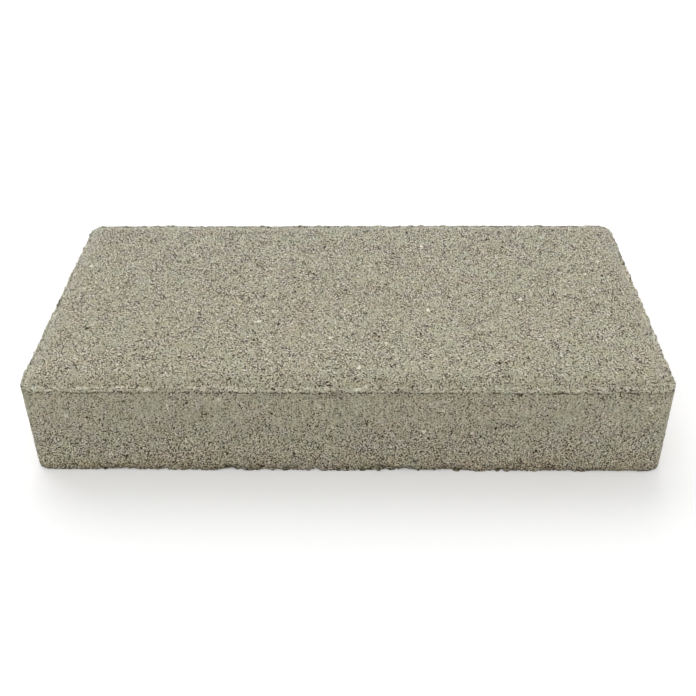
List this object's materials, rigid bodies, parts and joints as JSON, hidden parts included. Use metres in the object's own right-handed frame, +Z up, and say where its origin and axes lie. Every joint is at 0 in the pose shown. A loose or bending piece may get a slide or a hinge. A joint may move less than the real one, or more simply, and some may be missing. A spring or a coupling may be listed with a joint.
{
  "type": "concrete paving stone",
  "caption": "Rectangular pressed concrete paving stone with a sandy wearing face, a soft sloped margin, a fine bead along the arris and upright sides.",
  "frame": {"origin": "middle of the bed face, at the level of the ground that the stone lies on", "axes": "+X along the length, +Y across the width, +Z up out of the wearing face"},
  "size_m": [0.3, 0.15, 0.0515],
  "materials": {
    "concrete": "dry matte, sandy grey-buff concrete with fine grains and open pores"
  },
  "bodies": {
    "root": {"paving_stone": "concrete"}
  },
  "joints": []
}
